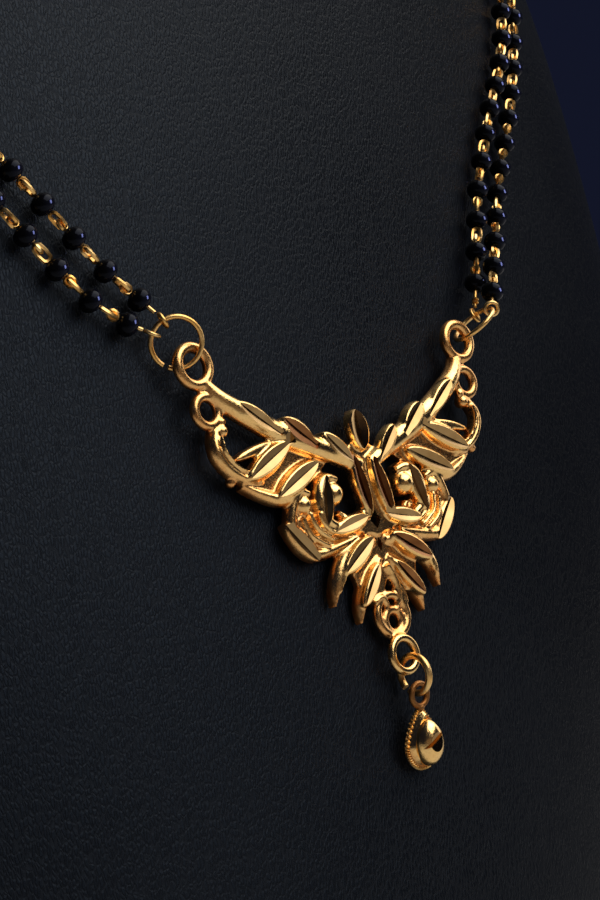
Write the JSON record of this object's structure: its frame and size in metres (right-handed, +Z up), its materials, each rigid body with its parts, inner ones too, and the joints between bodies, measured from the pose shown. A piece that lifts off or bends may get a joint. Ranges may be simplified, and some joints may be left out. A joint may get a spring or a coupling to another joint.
{
  "type": "mangalsutra on a neck bust",
  "caption": "Black-bead mangalsutra strung on gold wire, with an openwork bright-cut gold leaf pendant and a pear drop, laid on a dark leatherette neck bust.",
  "frame": {"origin": "on the floor, under the middle of the part's bounding box", "axes": "+Z up, -Y the way the pendant faces, +X towards the pendant's right as seen from the front"},
  "size_m": [0.1942, 0.1463, 0.232],
  "materials": {
    "leatherette": "fine-grained matte leatherette",
    "gold": "cast yellow gold with bright-cut facets",
    "bead": "glossy opaque black"
  },
  "bodies": {
    "root": {"bust": "leatherette", "pendant": "gold", "ring_left": "gold", "ring_right": "gold", "beads_left_inner": "bead", "beads_left_outer": "bead", "beads_right_inner": "bead", "beads_right_outer": "bead", "chain_left_inner": "gold", "chain_left_outer": "gold", "chain_right_inner": "gold", "chain_right_outer": "gold", "end_eyes": "gold", "drop_ring": "gold", "drop": "gold", "clasp": "gold"}
  },
  "joints": []
}
